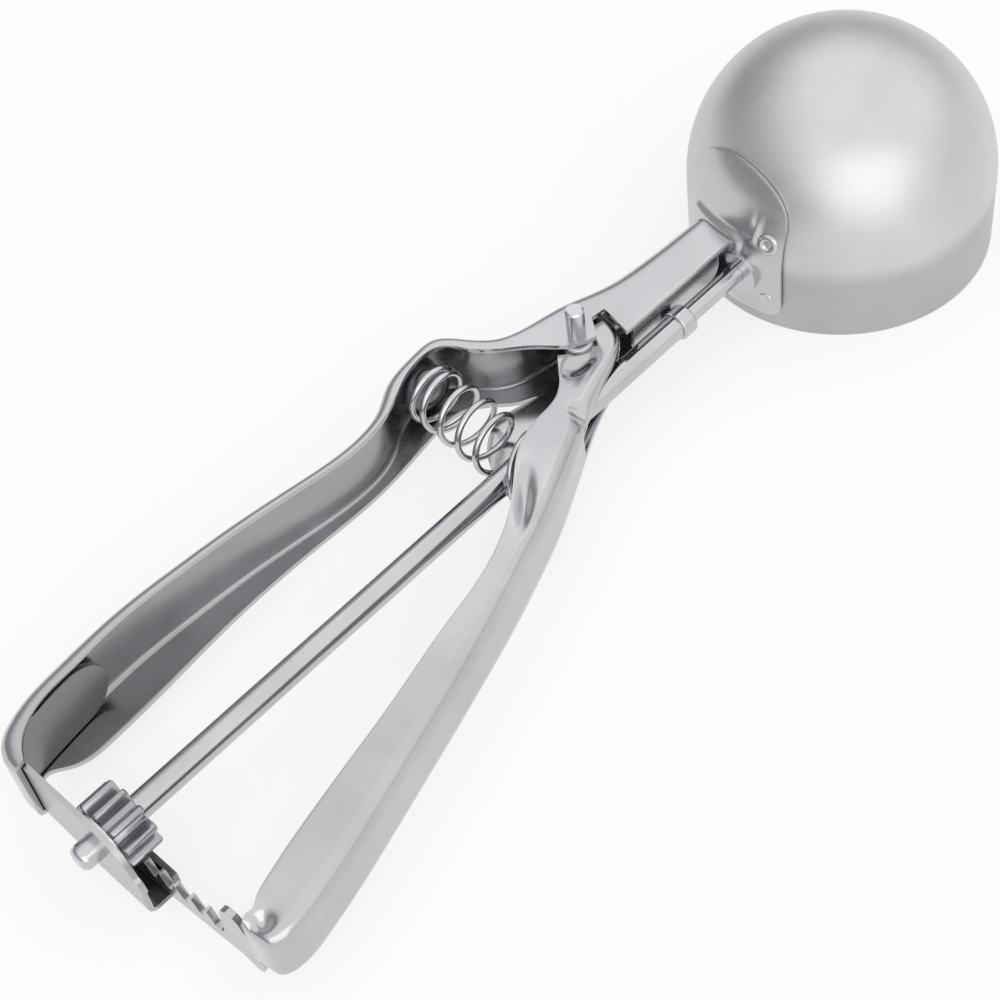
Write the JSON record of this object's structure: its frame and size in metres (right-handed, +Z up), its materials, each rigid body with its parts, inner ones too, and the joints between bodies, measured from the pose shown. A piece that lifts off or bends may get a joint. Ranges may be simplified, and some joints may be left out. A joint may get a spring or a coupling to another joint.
{
  "type": "lever ice cream scoop",
  "caption": "Lever-squeeze ice cream scoop: domed bowl with a sweeping scraper blade, two sheet handles, rack and pinion drive and a return spring.",
  "frame": {"origin": "middle of the whole scoop seen from above, on the table plane that the bowl's rim stands on", "axes": "+X along the drive shaft towards the bowl, +Y towards the fixed handle, +Z up"},
  "size_m": [0.217, 0.0656, 0.0436],
  "materials": {
    "handle_steel": "satin stainless steel",
    "bowl_steel": "fine satin stainless steel",
    "bright_steel": "polished"
  },
  "bodies": {
    "frame": {"fixed_handle": "handle_steel", "tail_bracket": "handle_steel", "bowl": "bowl_steel", "saddle_plate": "handle_steel", "eyelet_rivets": "bright_steel", "saddle_rivets": "bright_steel", "shaft_bush": "bright_steel", "far_pivot_rivet": "bright_steel", "far_pivot_washer": "bright_steel", "pivot_pin": "bright_steel", "upper_pivot_washer": "bright_steel", "lower_pivot_washer": "bright_steel", "return_spring": "bright_steel"},
    "lever": {"moving_handle": "handle_steel"},
    "drive": {"drive_shaft": "bright_steel", "blade_rod": "bright_steel", "crimp_collar": "bright_steel", "pinion": "bright_steel", "pinion_washer": "bright_steel", "scraper_blade": "bowl_steel", "blade_hub": "handle_steel"}
  },
  "joints": [
    {"name": "handle_squeeze", "type": "hinge", "parent": "frame", "child": "lever", "pos_m": [0.01475, 0.01195, 0.012], "axis": [0, 0, -1], "range_deg": [0, 8], "stiffness_Nm_per_rad": 3, "springref_deg": -6.88, "deforming": ["return_spring"]},
    {"name": "shaft_spin", "type": "hinge", "parent": "frame", "child": "drive", "pos_m": [-0.02105, 0.0042, 0.012], "axis": [1, 0, 0], "range_deg": [0, 168]}
  ],
  "couplings": [
    {"joint": "shaft_spin", "follows": "handle_squeeze", "ratio": 20.95}
  ]
}
